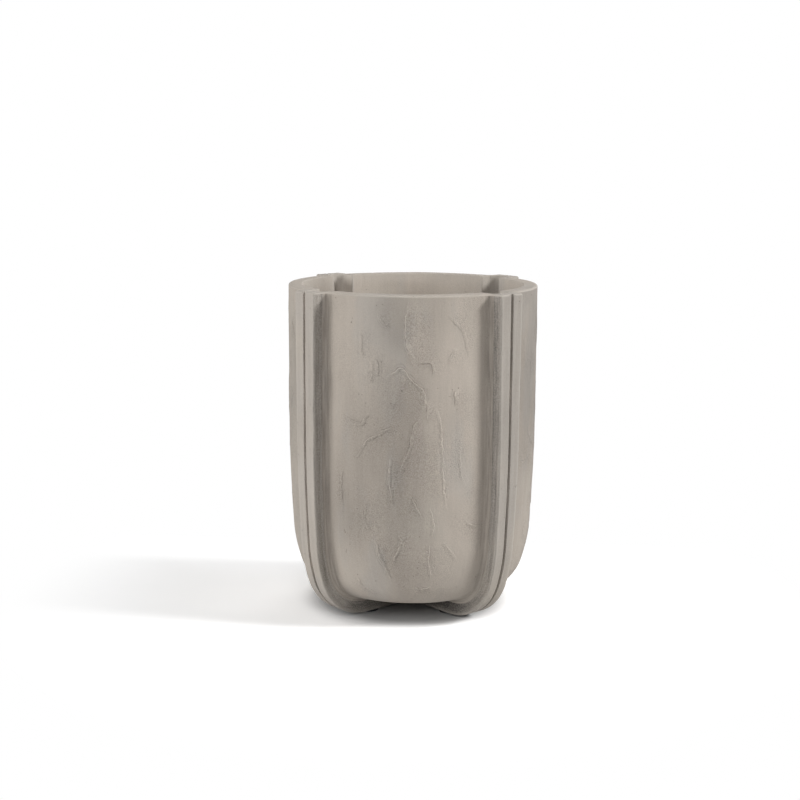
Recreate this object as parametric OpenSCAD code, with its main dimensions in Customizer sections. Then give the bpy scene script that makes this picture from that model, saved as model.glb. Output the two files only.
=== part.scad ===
// Ribbed urn vase: a round vessel of four curved wall panels, joined by four grooved ribs.
// Each rib runs down the side, round the bottom corner and in under the body, where the four
// meet at a square hub and carry the vessel clear of the floor.
// Millimetres, +Z up, front towards -Y. The origin is on the floor, on the vessel's axis.

/* [Vessel] */
// Diameter of the round body at the rim
body_d = 380; // [300:5:500]
// Height of the rim above the floor
height = 500; // [380:5:660]
// Thickness of the wall and of the base plate
wall_t = 22; // [17:0.5:27]
// Height of the upright band below the rim
lip_h = 200; // [80:5:240]
// Rounding of the rim's inner and outer edges
rim_round = 3; // [1:0.5:5]

/* [Curve of the side] */
// Lean of the wall where it runs into the haunch, in degrees
wall_lean = 3.9; // [2:0.1:6]
// Radius of the haunch, on the body's outside
haunch_r = 225; // [140:5:280]
// Lean of the haunch where it runs into the bottom corner, in degrees
haunch_lean = 18.5; // [14:0.5:28]
// Radius of the bottom corner, on the body's outside
corner_r = 62; // [48:1:80]

/* [Ribs] */
// Width of a rib at the rim
rib_w = 44; // [36:1:54]
// Width of a rib at the floor
rib_foot_w = 36; // [28:1:46]
// How far a rib stands out from the side of the body
rib_t = 21.5; // [14:0.5:28]
// Height of a rib's leg under the body
leg_t = 27; // [18:0.5:34]
// Width of the groove down the middle of a rib
groove_w = 4.5; // [2:0.5:8]
// Depth of the groove
groove_d = 4.5; // [2:0.5:7]
// Width of the rib's root, the part that is let in between two wall panels
root_w = 64; // [58:1:84]

/* [Flutes] */
// Width of the round-backed flute down the inside of each rib
flute_w = 37; // [24:1:42]
// Depth of the flute behind the wall's inner face
flute_d = 28; // [22:1:30]
// Length of the flute, measured down from the rim
flute_l = 330; // [200:5:340]

/* [Edge joints] */
// Thickness of the tongue along each panel's edges
tongue_t = 7; // [4:0.5:9]
// How far the tongue reaches into the rib's root
tongue_w = 6; // [3:0.5:8]
// Distance from the rim down to the top of the tongue
tongue_stop = 40; // [15:1:80]
// Room left round each tongue and spigot for the bedding mortar
bed = 0.3; // [0.1:0.05:0.6]

/* [Base and feet] */
// How far inside the start of the bottom corner the base plate ends
seat_in = 2; // [0:0.5:10]
// Width of the ledge that the base plate rests on
ledge_w = 12; // [6:1:18]
// Height of the ledge
ledge_t = 10; // [6:0.5:13]
// Diameter of the hub's spigot
spigot_d = 26; // [16:1:32]
// Height of the hub's spigot
spigot_h = 10; // [6:0.5:12]
// Diameter of a foot pad
pad_d = 32; // [20:1:34]
// Thickness of a foot pad
pad_t = 3; // [2:0.5:6]
// Distance from the end of a leg's flat underside to its foot pad
pad_in = 2; // [0:0.5:20]

/* [Hidden] */
$fn = 96;
concrete = [0.64, 0.61, 0.56];
concrete_base = [0.58, 0.55, 0.51];
pad_rubber = [0.12, 0.12, 0.12];
corner_steps = 10;
haunch_steps = 4;
wall_steps = 6;
round_steps = 4;
over = 1;

body_r = body_d / 2;
inner_r = body_r - wall_t;
body_z = pad_t + leg_t;
reach = body_r + rib_t + over;

// The side's three arcs, each tangent to the next: wall, haunch, bottom corner.
corner_drop = corner_r * (1 - sin(haunch_lean));
haunch_drop = haunch_r * (sin(haunch_lean) - sin(wall_lean));
wall_drop = height - lip_h - body_z - corner_drop - haunch_drop;
wall_r = wall_drop / sin(wall_lean);
wall_c = [body_r - wall_r, height - lip_h];
haunch_c = wall_c + (wall_r - haunch_r) * [cos(wall_lean), -sin(wall_lean)];

// Radius and centre of the corner that takes the haunch, moved out by off, down to a bottom at z.
function corner_radius(off, z) =
    (haunch_c[1] - (haunch_r + off) * sin(haunch_lean) - z) / (1 - sin(haunch_lean));

function corner_centre(off, z) =
    haunch_c + (haunch_r + off - corner_radius(off, z)) * [cos(haunch_lean), -sin(haunch_lean)];

// The base plate and its seat lie inside the body's corner, the pads inside the ribs' corner.
plate_r = corner_centre(0, body_z)[0] - seat_in;
seat_r = plate_r - ledge_w;
pad_ring = corner_centre(rib_t, pad_t)[0] - pad_in - pad_d / 2;

// The legs taper like the ribs, and the hub is as wide as they are at the body.
hub_w = rib_foot_w + (rib_w - rib_foot_w) * body_z / height;

// The flute's axis leans in with the chord of the wall behind it.
flute_lean = atan(wall_r * (1 - cos(wall_lean)) / (lip_h + wall_drop));
flute_axis_r = inner_r + flute_d - flute_w / 2;

function reversed(list) = [for (i = [len(list) - 1:-1:0]) list[i]];

function arc(centre, radius, from, to, steps, first = 1) =
    [for (i = [first:steps])
        let (a = from + (to - from) * i / steps)
            centre + radius * [cos(a), -sin(a)]];

// The side's curve at a distance off outside the body's face, from a bottom at z up to the rim.
function side(off, z, top = height) = concat(
    arc(corner_centre(off, z), corner_radius(off, z), 90, haunch_lean, corner_steps, 0),
    arc(haunch_c, haunch_r + off, haunch_lean, wall_lean, haunch_steps),
    arc(wall_c, wall_r + off, wall_lean, 0, wall_steps),
    [[body_r + off, top]]
);

function outer_edge(off) = arc([body_r + off - rim_round, height - rim_round], rim_round, 0, -90, round_steps);

function inner_edge() = arc([inner_r + rim_round, height - rim_round], rim_round, -90, -180, round_steps, 0);

// Section through the wall, from the toe under the base plate up to the rim.
module wall_section() {
    polygon(concat(
        [[seat_r, body_z]],
        side(0, body_z, height - rim_round),
        outer_edge(0),
        inner_edge(),
        reversed(side(-wall_t, body_z + wall_t, height - rim_round)),
        [
            [plate_r, body_z + wall_t],
            [plate_r, body_z + ledge_t],
            [seat_r, body_z + ledge_t]
        ]
    ));
}

// A band inside the wall's thickness, which stops below the rim.
module tongue_band(room = 0) {
    half = tongue_t / 2 + room;
    outer = half - wall_t / 2;
    inner = -half - wall_t / 2;
    top = height - tongue_stop + room;
    polygon(concat(side(outer, body_z - outer, top), reversed(side(inner, body_z - inner, top))));
}

// Side view of a rib outside the wall, with its leg under the body.
module rib_outline() {
    polygon(concat(
        [[hub_w / 2, pad_t]],
        side(rib_t, pad_t, height - rim_round),
        outer_edge(rib_t),
        [[body_r - wall_t / 2, height]],
        reversed(side(-wall_t / 2, body_z + wall_t / 2)),
        [[plate_r, body_z], [hub_w / 2, body_z]]
    ));
}

module groove_outline() {
    polygon(concat(
        [[0, pad_t - over]],
        side(rib_t + over, pad_t - over, height + over),
        reversed(side(rib_t - groove_d, pad_t + groove_d, height + over)),
        [[0, pad_t + groove_d]]
    ));
}

// An upright plate of the outline, centred on the plane of a rib.
module rib_plate(width) {
    rotate([90, 0, 0])
        linear_extrude(height = width, center = true)
            children();
}

// What a rib's tapered flanks enclose, seen along the rib's plane.
module rib_taper() {
    rotate([90, 0, 90])
        linear_extrude(height = reach)
            polygon([
                [-rib_foot_w / 2, 0], [rib_foot_w / 2, 0],
                [rib_w / 2, height], [-rib_w / 2, height]
            ]);
}

// A block on each side of a rib's plane, from one distance out to another.
module side_slabs(from, to) {
    for (way = [-1, 1])
        translate([0, way > 0 ? from : -to, 0])
            cube([reach, to - from, height + over]);
}

module rib_root() {
    intersection() {
        rotate_extrude()
            wall_section();
        translate([0, -root_w / 2, 0])
            cube([reach, root_w, height + over]);
    }
}

module mortises() {
    intersection() {
        rotate_extrude()
            tongue_band(bed);
        side_slabs(root_w / 2 - tongue_w - bed, root_w / 2 + over);
    }
}

module flute() {
    end = flute_l - flute_w / 2;
    translate([flute_axis_r, 0, height])
        rotate([0, flute_lean, 0])
            translate([0, 0, -end]) {
                linear_extrude(height = end + wall_t) {
                    circle(d = flute_w);
                    translate([-flute_d, -flute_w / 2])
                        square([flute_d, flute_w]);
                }
                sphere(d = flute_w);
                rotate([0, -90, 0])
                    cylinder(d = flute_w, h = flute_d);
            }
}

module rib() {
    difference() {
        union() {
            intersection() {
                rib_plate(root_w)
                    rib_outline();
                rib_taper();
            }
            rib_root();
        }
        mortises();
        flute();
        rib_plate(groove_w)
            groove_outline();
    }
}

// One curved panel, centred on +X, with a tongue along both of its edges.
module wall_panel() {
    difference() {
        rotate([0, 0, -45])
            rotate_extrude(angle = 90)
                wall_section();
        for (turn = [-45, 45])
            rotate([0, 0, turn])
                translate([0, -root_w / 2, 0])
                    cube([reach, root_w, height + over]);
    }
    intersection() {
        rotate([0, 0, -45])
            rotate_extrude(angle = 90)
                tongue_band();
        for (way = [-1, 1])
            rotate([0, 0, 45 * way])
                translate([0, way > 0 ? -root_w / 2 - over : root_w / 2 - tongue_w, 0])
                    cube([reach, tongue_w + over, height + over]);
    }
}

module wall_right() {
    color(concrete)
        wall_panel();
}

module wall_back() {
    color(concrete)
        rotate([0, 0, 90])
            wall_panel();
}

module wall_left() {
    color(concrete)
        rotate([0, 0, 180])
            wall_panel();
}

module wall_front() {
    color(concrete)
        rotate([0, 0, -90])
            wall_panel();
}

module rib_back_right() {
    color(concrete)
        rotate([0, 0, 45])
            rib();
}

module rib_back_left() {
    color(concrete)
        rotate([0, 0, 135])
            rib();
}

module rib_front_left() {
    color(concrete)
        rotate([0, 0, -135])
            rib();
}

module rib_front_right() {
    color(concrete)
        rotate([0, 0, -45])
            rib();
}

// The plate drops in from above, onto the ledge that the panels and ribs form.
module base_plate() {
    color(concrete_base)
        difference() {
            union() {
                translate([0, 0, body_z])
                    cylinder(r = seat_r - bed, h = wall_t);
                translate([0, 0, body_z + ledge_t])
                    cylinder(r = plate_r - bed, h = wall_t - ledge_t);
            }
            translate([0, 0, body_z - over])
                cylinder(d = spigot_d + 2 * bed, h = spigot_h + bed + over);
        }
}

// The square block that the four legs butt against, with a spigot up into the base plate.
module foot_hub() {
    color(concrete_base) {
        rotate([0, 0, 45])
            translate([-hub_w / 2, -hub_w / 2, pad_t])
                cube([hub_w, hub_w, leg_t]);
        translate([0, 0, pad_t])
            cylinder(d = spigot_d, h = leg_t + spigot_h);
    }
}

module foot_pad(turn) {
    color(pad_rubber)
        rotate([0, 0, turn])
            translate([pad_ring, 0, 0])
                cylinder(d = pad_d, h = pad_t);
}

module pad_back_right() {
    foot_pad(45);
}

module pad_back_left() {
    foot_pad(135);
}

module pad_front_left() {
    foot_pad(-135);
}

module pad_front_right() {
    foot_pad(-45);
}

wall_front();
wall_right();
wall_back();
wall_left();
rib_front_right();
rib_back_right();
rib_back_left();
rib_front_left();
base_plate();
foot_hub();
pad_front_right();
pad_back_right();
pad_back_left();
pad_front_left();
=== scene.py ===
import math

import bpy
import numpy as np
from mathutils import Matrix, Vector


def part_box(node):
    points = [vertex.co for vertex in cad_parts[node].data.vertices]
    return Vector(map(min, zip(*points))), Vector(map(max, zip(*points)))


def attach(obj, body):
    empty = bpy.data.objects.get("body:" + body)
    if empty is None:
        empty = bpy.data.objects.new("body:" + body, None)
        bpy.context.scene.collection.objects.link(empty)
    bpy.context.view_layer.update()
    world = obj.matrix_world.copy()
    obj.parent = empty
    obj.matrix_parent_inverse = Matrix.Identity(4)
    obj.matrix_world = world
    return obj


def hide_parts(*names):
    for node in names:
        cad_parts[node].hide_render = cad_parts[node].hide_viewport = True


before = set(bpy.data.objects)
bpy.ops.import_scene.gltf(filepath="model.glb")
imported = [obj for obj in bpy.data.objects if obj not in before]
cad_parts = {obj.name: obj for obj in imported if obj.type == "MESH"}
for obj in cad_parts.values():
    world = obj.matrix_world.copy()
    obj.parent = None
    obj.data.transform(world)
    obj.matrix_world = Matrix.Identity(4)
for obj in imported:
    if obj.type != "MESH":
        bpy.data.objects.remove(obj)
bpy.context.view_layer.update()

scene = bpy.context.scene
scene.view_settings.view_transform = "Standard"
millimetre = 0.001
touching = 1e-7                 # metres within which two places are the same
leastArea = 1e-12               # keeps a normal from being divided by nothing
sharpFrom = math.radians(48)    # an edge that bends by more is shaded as an edge

view = {
    "distance": 2.2418,     # from the vessel's axis, over the floor
    "azimuth": 2.765,       # degrees to the right of the vessel's front
    "height": 0.7141,
    "turn": 0.4845,         # degrees that it looks left of the axis
    "tilt": 10.02,          # degrees that it looks down
    "roll": 0.329,          # degrees, its right side up
    "lens": 66.05,
    "sensor": 36,           # width that the lens is given for
    "farthest": 60,         # metres
}


def placeCamera(values):
    azimuth = math.radians(values["azimuth"])
    heading = azimuth + math.radians(values["turn"])
    tilt = math.radians(values["tilt"])
    camera = bpy.data.objects.new("camera", bpy.data.cameras.new("camera"))
    scene.collection.objects.link(camera)
    place = Vector((
        values["distance"] * math.sin(azimuth),
        -values["distance"] * math.cos(azimuth),
        values["height"],
    ))
    ahead = Vector((
        -math.sin(heading) * math.cos(tilt),
        math.cos(heading) * math.cos(tilt),
        -math.sin(tilt),
    ))
    level = Vector((math.cos(heading), math.sin(heading), 0))
    upward = level.cross(ahead)
    roll = math.radians(values["roll"])
    right = level * math.cos(roll) + upward * math.sin(roll)
    top = upward * math.cos(roll) - level * math.sin(roll)
    turned = Matrix((right, top, -ahead)).transposed()
    camera.matrix_world = Matrix.Translation(place) @ turned.to_4x4()
    camera.data.lens = values["lens"]
    camera.data.sensor_width = values["sensor"]
    camera.data.clip_end = values["farthest"]
    scene.camera = camera


placeCamera(view)
print("camera placed")

# sizes come from the frame where it has them
wallLow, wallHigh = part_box("wall_front")
hubLow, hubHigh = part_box("foot_hub")
plateLow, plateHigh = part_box("base_plate")
rimHeight = wallHigh.z
bodyRadius = -wallLow.y
bodyBottom = wallLow.z
legBottom = hubLow.z
hubHalf = hubHigh.x / math.sqrt(2)

side = {
    "lipHeight": 0.200,             # the upright band below the rim
    "wallLean": math.radians(3.9),  # where the wall runs into the haunch
    "haunchRadius": 0.225,
    "haunchLean": math.radians(18.5),
    "cornerRadius": 0.062,          # from the haunch to the bottom
    "thickness": plateHigh.z - plateLow.z,
    "rimRounding": 0.003,
    "innerRounding": 0.002,         # the rim's inner edge
    "ledgeWidth": 0.012,            # the base plate's seat
    "ledgeHeight": 0.010,
    "mortar": 0.0003,               # left round the base plate
}

ribs = {
    "depth": 0.0215,
    "widthAtRim": 0.044,
    "widthAtFloor": 0.036,
    "arris": 0.0028,                # rounding of the long edges
    "cove": 0.007,                  # mortar run into the corner beside a rib
    "grooveWidth": 0.0045,
    "grooveDepth": 0.0045,
    "grooveArris": 0.0007,
    "grooveTaper": 0.0001,          # narrower at the bottom, each side
    "grooveHollow": 1.04,           # how deep its middle is beside its edges
    "angles": [-135, -45, 45, 135],
    "names": ["front_left", "front_right", "back_right", "back_left"],
}

# share of the rim's rounding that a rib's lines have: in the groove, beside it, and gained outwards
rimShare = {"inGroove": 0.2, "besideGroove": 0.25, "outwards": 2.2}

flutes = {
    "width": 0.037,
    "depth": 0.028,                 # behind the wall's inner face, at the rim
    "length": 0.330,
    "lean": 0.0157,                 # how much shallower it gets to a metre
    "arris": 0.55,                  # share of the web beside the flute that is rounded off
    "leastWeb": 0.0002,
    "leastDepth": 0.001,
    "outline": [2.0, 3.0, 8.0, 29.0],   # how its lines are shared: web, arris, straight, round back
    "runOut": (0.0025, 0.001),      # inside and outside its round end, where it runs into the wall
}

# The side's curve is three arcs, each tangent to the next, under an upright band. A place along it
# is 0 at the rim, then 1 at the end of the lip, 2 of the wall, 3 of the haunch and 4 of the corner.
bottomPlace = 4.0
lipBottom = rimHeight - side["lipHeight"]
innerRadius = bodyRadius - side["thickness"]
plateRadius = plateHigh.x + side["mortar"]
seatRadius = plateRadius - side["ledgeWidth"]
haunchTurn = math.sin(side["haunchLean"]) - math.sin(side["wallLean"])
wallDrop = lipBottom - bodyBottom - side["cornerRadius"] * (1 - math.sin(side["haunchLean"]))
wallDrop -= side["haunchRadius"] * haunchTurn
wallRadius = wallDrop / math.sin(side["wallLean"])
wallCentre = np.array([bodyRadius - wallRadius, lipBottom])


def leanDirection(lean):
    return np.array([math.cos(lean), -math.sin(lean)])


haunchCentre = wallCentre + (wallRadius - side["haunchRadius"]) * leanDirection(side["wallLean"])


def cornerOf(offset, bottom):
    # radius and centre of the arc that takes the haunch down to the bottom
    lean = side["haunchLean"]
    reach = side["haunchRadius"] + offset
    radius = (haunchCentre[1] - reach * math.sin(lean) - bottom) / (1 - math.sin(lean))
    return radius, haunchCentre + (reach - radius) * leanDirection(lean)


def sideCurve(along, offset, bottom):
    # radius, height and outward normal at places along the curve, offset outwards
    leans = [0, 0, side["wallLean"], side["haunchLean"], math.pi / 2]
    lean = np.interp(along, range(len(leans)), leans)
    cornerRadius, cornerCentre = cornerOf(offset, bottom)
    parts = [along <= 1, along <= 2, along <= 3]
    centreR = np.select(parts, [bodyRadius + offset, wallCentre[0], haunchCentre[0]], cornerCentre[0])
    centreZ = np.select(parts, [0, wallCentre[1], haunchCentre[1]], cornerCentre[1])
    reach = np.select(parts, [0, wallRadius + offset, side["haunchRadius"] + offset], cornerRadius)
    radius = centreR + reach * np.cos(lean)
    onLip = rimHeight - side["lipHeight"] * along
    height = np.where(along <= 1, onLip, centreZ - reach * np.sin(lean))
    return radius, height, np.cos(lean), -np.sin(lean)


def ribHalfWidth(height):
    widening = (ribs["widthAtRim"] - ribs["widthAtFloor"]) * height / rimHeight
    return (ribs["widthAtFloor"] + widening) / 2


# each unevenness has a seed of its own, and each panel's own one counts on from it
seeds = {
    "sway": 3,
    "rub": 7,
    "drag": 23,
    "chips": (31, 37),
    "ragged": 41,
    "sand": 61,
    "marks": 70,
    "panelTone": 91,
    "ribTone": 97,
    "streaks": 103,
}

# how a cell of the noise's grid finds its random value
lattice = {
    "values": 8192,         # a power of 2
    "spread": (73856093, 19349663, 83492791),
    "fold": 13,
}


def latticeNoise(places, cell, seed):
    # smooth noise from -1 to 1: a random value at each corner of a grid, and blends between them
    table = np.random.default_rng(seed).uniform(-1, 1, lattice["values"])
    scaled = places / cell
    base = np.floor(scaled).astype(np.int64)
    part = scaled - base
    part = part * part * (3 - 2 * part)
    total = np.zeros(places.shape[:-1])
    for corner in range(8):
        step = np.array([corner & 1, corner >> 1 & 1, corner >> 2 & 1])
        code = np.bitwise_xor.reduce((base + step) * lattice["spread"], axis=-1)
        weight = np.prod(np.where(step == 1, part, 1 - part), axis=-1)
        total += weight * table[(code ^ code >> lattice["fold"]) & (lattice["values"] - 1)]
    return total


def layeredNoise(places, cell, seed, layers=3):
    total, strength = np.zeros(places.shape[:-1]), 1.0
    for layer in range(layers):
        total += strength * latticeNoise(places, cell / 2 ** layer, seed + layer)
        strength /= 2
    return total


def smoothStep(low, high, value):
    share = np.clip((value - low) / (high - low), 0, 1)
    return share * share * (3 - 2 * share)


# Each mark is one edge of a flake of skim coat: its path over the panel in millimetres across and
# above the floor, the side that stands proud (1 left of the path, -1 right) and by how much.
trowel = {
    "rise": 1.9,            # all the marks' rises are taken this many times
    "edge": 1.4,            # millimetres over which a flake's edge rises
    "lip": 0.56,            # how far the edge is turned up, beside its rise
    "lipWidth": 1.2,
    "lipPlace": 0.4,        # millimetres in from the edge
    "seen": 4.0,            # millimetres either side within which an edge shows
    "fade": 21.0,           # millimetres over which a flake runs out behind its edge
    "reach": 2.6,           # fades after which it has run out
    "taper": 0.3,           # share of an edge over which it sets in and runs out
    "ragged": 1.3,          # millimetres that an edge wanders
    "raggedSize": 7.0,
    "otherRise": 0.5,       # share of their rise that the front's marks have on the other panels
    "turnHeight": 560,      # twice the height about which they are turned over there
    "frontMarks": [
        ([(2, 496), (-1, 463), (-1.5, 437), (2.5, 426), (7.5, 407), (12, 398), (14, 392)], 1, 0.75),
        ([(-31, 376), (-27, 386), (-18, 390), (-13, 397), (-6, 399), (0, 392), (6, 384), (14, 374),
          (24, 369), (29, 360), (29, 344), (29, 326)], -1, 0.55),
        ([(28, 333), (19, 323), (13, 316), (9, 305), (7, 294), (4, 275), (-3, 261), (-9, 245), (-11, 224)],
         1, 0.5),
        ([(35, 320), (39, 334), (44, 339), (48, 331), (50, 320), (52, 311), (54, 283), (56, 240), (59, 209),
          (63, 182)], -1, 0.5),
        ([(56, 476), (63, 465), (73, 457), (84, 442), (87, 429), (89, 414), (93, 409)], 1, 0.17),
        ([(73, 368), (70, 350), (73, 338)], 1, 0.4),
        ([(-102, 331), (-90, 323), (-77, 317), (-67, 314), (-61, 320), (-56, 329), (-53, 340)], -1, 0.3),
        ([(-52, 408), (-51, 390), (-52, 369)], 1, 0.24),
        ([(-47, 404), (-43, 411), (-39, 404), (-39, 394), (-40, 378)], -1, 0.22),
        ([(-80, 255), (-68, 274), (-62, 285), (-54, 295), (-40, 300), (-32, 308), (-23, 312), (-13, 311),
          (-3, 295), (2, 286)], -1, 0.34),
        ([(-23, 270), (-25, 239), (-23, 222), (-21, 202), (-19, 188)], 1, 0.55),
        ([(4, 214), (10, 208), (15, 198), (22, 184), (26, 176)], -1, 0.45),
        ([(36, 196), (39, 188), (44, 170), (43, 153), (40, 144)], -1, 0.4),
        ([(-9, 158), (-6, 144), (-13, 125), (-19, 112), (-22, 104)], 1, 0.45),
        ([(-48, 150), (-43, 128), (-36, 110), (-28, 90), (-22, 76)], 1, 0.4),
        ([(38, 142), (37, 117), (36, 109), (40, 89), (41, 78)], -1, 0.45),
        ([(56, 144), (65, 132), (74, 121), (80, 112)], -1, 0.18),
        ([(14, 404), (26, 405), (35, 404), (38, 394), (38, 383)], 1, 0.35),
        ([(30, 350), (32, 333), (31, 318)], 1, 0.45),
        ([(-70, 452), (-66, 430), (-68, 405)], 1, 0.25),
        ([(-95, 250), (-99, 215), (-97, 180)], -1, 0.25),
        ([(-60, 200), (-64, 178), (-60, 160), (-52, 148)], 1, 0.3),
        ([(14, 72), (24, 66), (33, 68), (40, 74)], -1, 0.35),
        ([(84, 300), (80, 268), (84, 240), (90, 222)], -1, 0.25),
    ],
    # sandy areas, where the coat was dragged while it set: middle across and up, half sizes, amount
    "frontSand": [
        (17, 442, 25, 56, 0.6),
        (0, 348, 32, 46, 0.55),
        (-42, 385, 26, 46, 0.35),
        (-20, 165, 42, 66, 0.4),
        (20, 240, 30, 60, 0.3),
        (48, 110, 30, 40, 0.35),
    ],
    # broad lighter and darker areas: middle across and up, half width, half height, amount
    "frontTones": [
        (72, 300, 46, 290, 0.12),
        (-12, 250, 44, 190, -0.07),
        (-78, 230, 42, 130, -0.11),
        (-35, 190, 90, 170, -0.08),
        (-70, 440, 40, 70, 0.03),
        (-14, 466, 30, 50, -0.12),
        (5, 350, 26, 40, -0.08),
    ],
}

# smaller marks, tried at random on every panel
smallMarks = {
    "tries": 70,
    "apart": 17.0,          # millimetres that they keep from each other and from the marks above
    "across": (-100, 100),  # where one may start
    "height": (80, 480),
    "heading": 0.5,         # radians either side of straight down
    "bend": 0.35,           # radians that the first step turns, either way
    "straighten": 0.8,      # share of that turn that is left at each further step
    "waver": 0.3,
    "steps": (3, 8),
    "pace": (6, 14),        # millimetres
    "rise": (0.12, 0.32),
}


def turnedHeight(height, upWay):
    return height if upWay == 1 else trowel["turnHeight"] - height


def turnedMarks(marks, acrossWay, upWay, share):
    # the front's marks for a panel, mirrored across where acrossWay is -1 and upside down where upWay is
    turned = []
    for points, sideUp, rise in marks:
        path = [(x * acrossWay, turnedHeight(y, upWay)) for x, y in points]
        turned.append((path, sideUp * acrossWay * upWay, rise * share))
    return turned


def turnedPatches(patches, acrossWay, upWay):
    return [
        (middle * acrossWay, turnedHeight(level, upWay), *rest)
        for middle, level, *rest in patches
    ]


def wanderingMarks(values, seed, taken):
    # smaller edges of flakes, mostly upright and some hooked over, which keep clear of each other and
    # of the marks that are there already
    chance = np.random.default_rng(seed)
    used = [np.array(points, float) for points, sideUp, rise in taken]
    marks = []
    for each in range(values["tries"]):
        place = np.array([chance.uniform(*values["across"]), chance.uniform(*values["height"])])
        heading = chance.uniform(-values["heading"], values["heading"]) - math.pi / 2
        bend = chance.uniform(-values["bend"], values["bend"])
        path = [place]
        for step in range(chance.integers(*values["steps"])):
            heading += bend + chance.uniform(-values["waver"], values["waver"])
            bend *= values["straighten"]
            way = np.array([math.cos(heading), math.sin(heading)])
            place = place + chance.uniform(*values["pace"]) * way
            path.append(place)
        path = np.array(path)
        sideUp, rise = int(chance.choice([-1, 1])), chance.uniform(*values["rise"])
        gaps = np.linalg.norm(path[:, None] - np.vstack(used)[None], axis=2)
        if gaps.min() > values["apart"]:
            used.append(path)
            marks.append((path, sideUp, rise))
    return marks


def roundedPath(points):
    # the path with each corner cut twice, so that it bends and doesn't kink
    path = np.array(points, float)
    for again in range(2):
        near = path[:-1] * 0.75 + path[1:] * 0.25
        far = path[:-1] * 0.25 + path[1:] * 0.75
        middle = np.stack([near, far], axis=1).reshape(-1, 2)
        path = np.vstack([path[:1], middle, path[-1:]])
    return path


def nearestOnPath(x, y, path, sideUp):
    # how far places lie from a path, the same but below 0 on the side that stays low, how far along
    # the path that is, and the path's length
    best = np.full(x.shape, np.inf)
    signed, along = np.zeros(x.shape), np.zeros(x.shape)
    lengths = np.hypot(*(path[1:] - path[:-1]).T)
    before = np.concatenate([[0], np.cumsum(lengths)])
    for start, end, length, passed in zip(path[:-1], path[1:], lengths, before):
        way = (end - start) / length
        dx, dy = x - start[0], y - start[1]
        share = np.clip(dx * way[0] + dy * way[1], 0, length)
        gap = np.hypot(dx - way[0] * share, dy - way[1] * share)
        closer = gap < best
        best = np.where(closer, gap, best)
        turn = np.sign(way[0] * dy - way[1] * dx) * sideUp
        signed = np.where(closer, gap * turn, signed)
        along = np.where(closer, passed + share, along)
    return best, signed, along, before[-1]


def trowelRelief(across, height, marks, seed):
    # for places in millimetres over a panel: the skim coat's relief, how much each is on a flake, and
    # how far the nearest flake's edge lies and how strong it is
    flat = np.stack([across, height, np.zeros_like(across)], axis=-1)
    wander = [layeredNoise(flat, trowel["raggedSize"], seed + turn) for turn in (0, 20)]
    x, y = across + trowel["ragged"] * wander[0], height + trowel["ragged"] * wander[1]
    relief, onFlake, strong = np.zeros_like(x), np.zeros_like(x), np.zeros_like(x)
    edgeGap = np.full_like(x, trowel["seen"])
    margin = trowel["reach"] * trowel["fade"]
    for points, sideUp, rise in marks:
        path = roundedPath(points)
        low, high = path.min(axis=0) - margin, path.max(axis=0) + margin
        near = (x > low[0]) & (x < high[0]) & (y > low[1]) & (y < high[1])
        best, signed, along, whole = nearestOnPath(x[near], y[near], path, sideUp)
        taper = trowel["taper"] * whole
        ends = smoothStep(0, taper, along) * smoothStep(0, taper, whole - along)
        ends *= smoothStep(0, 1, 1 - best / margin)
        up = smoothStep(-trowel["edge"] / 2, trowel["edge"] / 2, signed)
        back = np.exp(-np.maximum(signed, 0) / trowel["fade"])
        lip = trowel["lip"] * np.exp(-((signed - trowel["lipPlace"]) / trowel["lipWidth"]) ** 2)
        rise = rise * trowel["rise"]
        relief[near] += ends * rise * (up * back + lip)
        onFlake[near] = np.maximum(onFlake[near], ends * up * back)
        nearer = best < np.abs(edgeGap[near])
        edgeGap[near] = np.where(nearer, signed, edgeGap[near])
        strong[near] = np.where(nearer, ends * min(rise, 1), strong[near])
    return relief, onFlake, edgeGap, strong


# The shell is one grid: lines round the vessel, each a row of stations that runs up the outside, over
# the rim and down inside. It is divided into panels and ribs beside the ribs' flanks.
detail = {
    "step": 0.0015,         # metres between the outside's stations
    "cornerRadius": 0.08,   # by which the corner's stations are counted
    "wallLines": 168,
    "coveLines": 6,
    "flankLines": 13,
    "arrisTurns": [15, 30, 45, 60, 75, 90],
    "faceLines": 13,
    "grooveTurns": [30, 60, 90],
    "grooveLines": 5,
    "insideStations": [10, 9, 5, 9],
    "topStations": 12,
    "roundStations": 6,
    "seatStations": 10,     # under a panel, from its bottom to the base plate's seat
    "legStations": 45,      # under a rib, from the hub out
}

# how wear runs out from an arris, in millimetres, and how wide the faces beside it are
wearing = {
    "reach": 1.6,
    "flank": 14,
    "face": 16,
    "grooveReach": 1.2,
    "besideGroove": 0.5,
    "inGroove": 0.4,
    "rimReach": 1.3,
    "rim": 16,
}


def outsideStations():
    # places along the side's curve, from the bottom up to the rim
    corner = detail["cornerRadius"] * (math.pi / 2 - side["haunchLean"])
    haunch = side["haunchRadius"] * (side["haunchLean"] - side["wallLean"])
    found = [np.array([bottomPlace])]
    for part, span in ((3, corner), (2, haunch), (1, wallDrop), (0, side["lipHeight"])):
        count = round(span / detail["step"])
        found.append(part + 1 - np.arange(1, count + 1) / count)
    return np.concatenate(found)


def insideStations():
    # and from the rim down to the bottom
    found = [
        part + np.arange(1, count + 1) / count
        for part, count in enumerate(detail["insideStations"])
    ]
    return np.concatenate(found)


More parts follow.
